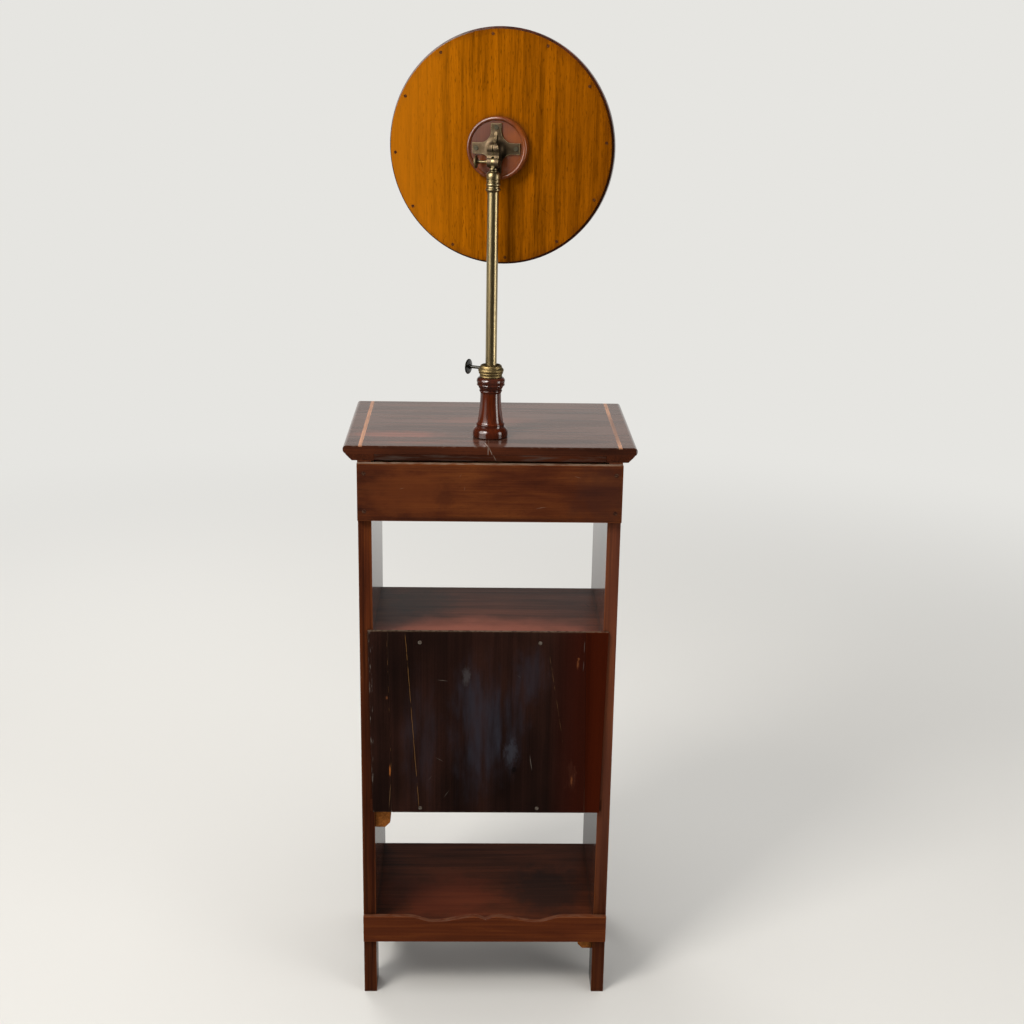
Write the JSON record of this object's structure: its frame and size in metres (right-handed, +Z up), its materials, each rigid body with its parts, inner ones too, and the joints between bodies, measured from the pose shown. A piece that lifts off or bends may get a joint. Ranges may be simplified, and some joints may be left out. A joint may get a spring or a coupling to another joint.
{
  "type": "shaving stand",
  "caption": "Free-standing shaving stand with a frieze drawer, open recess, cupboard and low shelf, and a round mirror on a sliding, swivelling and tilting brass pole.",
  "frame": {"origin": "on the floor, under the middle of the stand's whole footprint", "axes": "+Z up, -Y towards the user at the drawer and door, +X to the user's right"},
  "size_m": [0.388, 0.2766, 1.353],
  "materials": {
    "polished_mahogany": "polished",
    "dark_mahogany": "polished",
    "drawer_lining_wood": "bare, waxed",
    "stained_back_boards": "dark stain, matt and worn",
    "satinwood": "polished",
    "raw_wood": "bare",
    "golden_mahogany": "waxed",
    "aged_brass": "aged, unlacquered",
    "dark_brass": "dark patina",
    "iron": "dull",
    "silvered_glass": "silvered, bevelled"
  },
  "bodies": {
    "stand": {"side_left": "polished_mahogany", "side_right": "polished_mahogany", "top_board": "polished_mahogany", "top_strings": "satinwood", "top_moulding_front": "polished_mahogany", "top_moulding_left": "polished_mahogany", "top_moulding_right": "polished_mahogany", "top_rear_strip": "dark_mahogany", "top_front_rail": "polished_mahogany", "dust_board": "drawer_lining_wood", "frieze_back_rail": "polished_mahogany", "back_rail_nails": "iron", "cupboard_top": "dark_mahogany", "cupboard_bottom": "dark_mahogany", "lower_shelf": "dark_mahogany", "back_board_narrow": "stained_back_boards", "back_board_wide": "stained_back_boards", "back_plank": "dark_mahogany", "back_board_nails": "iron", "rear_gallery": "polished_mahogany", "glue_block_upper": "raw_wood", "glue_block_lower": "raw_wood", "drawer_stops": "drawer_lining_wood", "catch_plate": "aged_brass", "side_hinge_leaves": "aged_brass", "hinge_pins": "aged_brass", "pillar": "dark_mahogany", "pole_well": "drawer_lining_wood", "collar": "aged_brass"},
    "drawer": {"drawer_front": "polished_mahogany", "drawer_side_left": "drawer_lining_wood", "drawer_side_right": "drawer_lining_wood", "drawer_back": "drawer_lining_wood", "drawer_bottom": "drawer_lining_wood", "drawer_knobs": "aged_brass"},
    "door": {"door_stile_hinge": "polished_mahogany", "door_stile_knob": "polished_mahogany", "door_rail_top": "polished_mahogany", "door_rail_bottom": "polished_mahogany", "door_panel": "polished_mahogany", "door_hinge_leaves": "aged_brass", "door_knob": "aged_brass", "door_catch": "aged_brass"},
    "collar_screw": {"collar_screw": "dark_brass"},
    "pole_foot": {"pole_foot": "aged_brass"},
    "pole": {"pole": "aged_brass", "ferrule": "aged_brass", "tongue": "aged_brass"},
    "mirror": {"mirror_bracket": "aged_brass", "bracket_screws": "dark_brass", "roundel": "polished_mahogany", "mirror_back": "golden_mahogany", "mirror_back_nails": "dark_brass", "mirror_frame": "dark_mahogany", "mirror_glass": "silvered_glass"},
    "tilt_screw": {"tilt_screw": "aged_brass"}
  },
  "joints": [
    {"name": "drawer_slide", "type": "slide", "parent": "stand", "child": "drawer", "axis": [0, -1, 0], "range_m": [0, 0.12]},
    {"name": "door_hinge", "type": "hinge", "parent": "stand", "child": "door", "pos_m": [-0.15625, -0.103, 0.425], "axis": [0, 0, -1], "range_deg": [0, 105]},
    {"name": "collar_screw_turn", "type": "hinge", "parent": "stand", "child": "collar_screw", "pos_m": [0, 0.0697, 0.91817], "axis": [0.9063, -0.4226, 0], "range_deg": [0, 180]},
    {"name": "pole_slide", "type": "slide", "parent": "stand", "child": "pole_foot", "axis": [0, 0, 1], "range_m": [-0.0985, 0.045]},
    {"name": "pole_swivel", "type": "hinge", "parent": "pole_foot", "child": "pole", "pos_m": [0, 0.0697, 0.9235], "axis": [0, 0, 1], "continuous": true},
    {"name": "mirror_tilt", "type": "hinge", "parent": "pole", "child": "mirror", "pos_m": [0, 0.0697, 1.1865], "axis": [-0.9659, 0.2588, 0], "range_deg": [-8, 40]},
    {"name": "tilt_screw_turn", "type": "hinge", "parent": "mirror", "child": "tilt_screw", "pos_m": [0, 0.0697, 1.1865], "axis": [0.9659, -0.2588, 0], "range_deg": [0, 180]}
  ]
}
